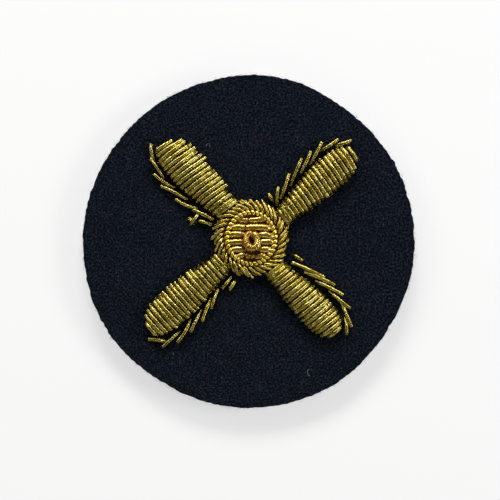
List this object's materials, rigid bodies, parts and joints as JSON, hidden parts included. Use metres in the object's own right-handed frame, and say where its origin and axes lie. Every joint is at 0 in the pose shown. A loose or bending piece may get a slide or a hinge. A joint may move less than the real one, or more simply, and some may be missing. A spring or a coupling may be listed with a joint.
{
  "type": "embroidered bullion propeller badge",
  "caption": "Round dark wool felt sew-on badge with a four-bladed propeller in gold bullion wire: padded blades edged on one side, round hub with a beaded ring, rows and an eyelet.",
  "frame": {"origin": "centre of the badge's rear face", "axes": "+Z out of the embroidered face, +Y towards the badge's top edge, +X towards its right edge as seen from the front"},
  "size_m": [0.06, 0.0602, 0.0065],
  "materials": {
    "felt": "milled navy-black wool felt, matt, hand-cut edge",
    "buckram": "stiff starched cotton scrim",
    "lining": "plain-woven black cotton",
    "padding": "soft yellow cotton string, laid in bundles",
    "thread": "waxed yellow sewing thread",
    "rough_purl": "gilt wire coil, slightly dull",
    "pearl_purl": "stiff gilt wire coil, bright, warm gold",
    "smooth_purl": "polished gilt wire coil"
  },
  "bodies": {
    "root": {"lining_cloth": "lining", "buckram_stiffener": "buckram", "felt_disc": "felt", "hub_padding": "padding", "hub_back_threads": "thread", "hub_purl_ring": "rough_purl", "hub_pearl_purl": "pearl_purl", "hub_centre_row_1": "smooth_purl", "hub_centre_row_2": "smooth_purl", "hub_centre_row_3_left": "smooth_purl", "hub_centre_row_3_right": "smooth_purl", "hub_centre_row_4_left": "smooth_purl", "hub_centre_row_4_right": "smooth_purl", "hub_centre_row_5_left": "smooth_purl", "hub_centre_row_5_right": "smooth_purl", "hub_centre_row_6": "smooth_purl", "hub_centre_eyelet": "smooth_purl", "blade_ne_padding": "padding", "blade_ne_purl_field": "rough_purl", "blade_ne_back_threads": "thread", "blade_ne_edge_chip_1": "rough_purl", "blade_ne_edge_chip_2": "rough_purl", "blade_ne_edge_chip_3": "rough_purl", "blade_ne_edge_chip_4": "rough_purl", "blade_ne_edge_chip_5": "rough_purl", "blade_ne_edge_chip_6": "rough_purl", "blade_ne_edge_chip_7": "rough_purl", "blade_ne_edge_chip_8": "rough_purl", "blade_nw_padding": "padding", "blade_nw_purl_field": "rough_purl", "blade_nw_back_threads": "thread", "blade_nw_edge_chip_1": "rough_purl", "blade_nw_edge_chip_2": "rough_purl", "blade_nw_edge_chip_3": "rough_purl", "blade_nw_edge_chip_4": "rough_purl", "blade_nw_edge_chip_5": "rough_purl", "blade_nw_edge_chip_6": "rough_purl", "blade_nw_edge_chip_7": "rough_purl", "blade_nw_edge_chip_8": "rough_purl", "blade_sw_padding": "padding", "blade_sw_purl_field": "rough_purl", "blade_sw_back_threads": "thread", "blade_sw_edge_chip_1": "rough_purl", "blade_sw_edge_chip_2": "rough_purl", "blade_sw_edge_chip_3": "rough_purl", "blade_sw_edge_chip_4": "rough_purl", "blade_sw_edge_chip_5": "rough_purl", "blade_sw_edge_chip_6": "rough_purl", "blade_sw_edge_chip_7": "rough_purl", "blade_sw_edge_chip_8": "rough_purl", "blade_se_padding": "padding", "blade_se_purl_field": "rough_purl", "blade_se_back_threads": "thread", "blade_se_edge_chip_1": "rough_purl", "blade_se_edge_chip_2": "rough_purl", "blade_se_edge_chip_3": "rough_purl", "blade_se_edge_chip_4": "rough_purl", "blade_se_edge_chip_5": "rough_purl", "blade_se_edge_chip_6": "rough_purl", "blade_se_edge_chip_7": "rough_purl"}
  },
  "joints": []
}
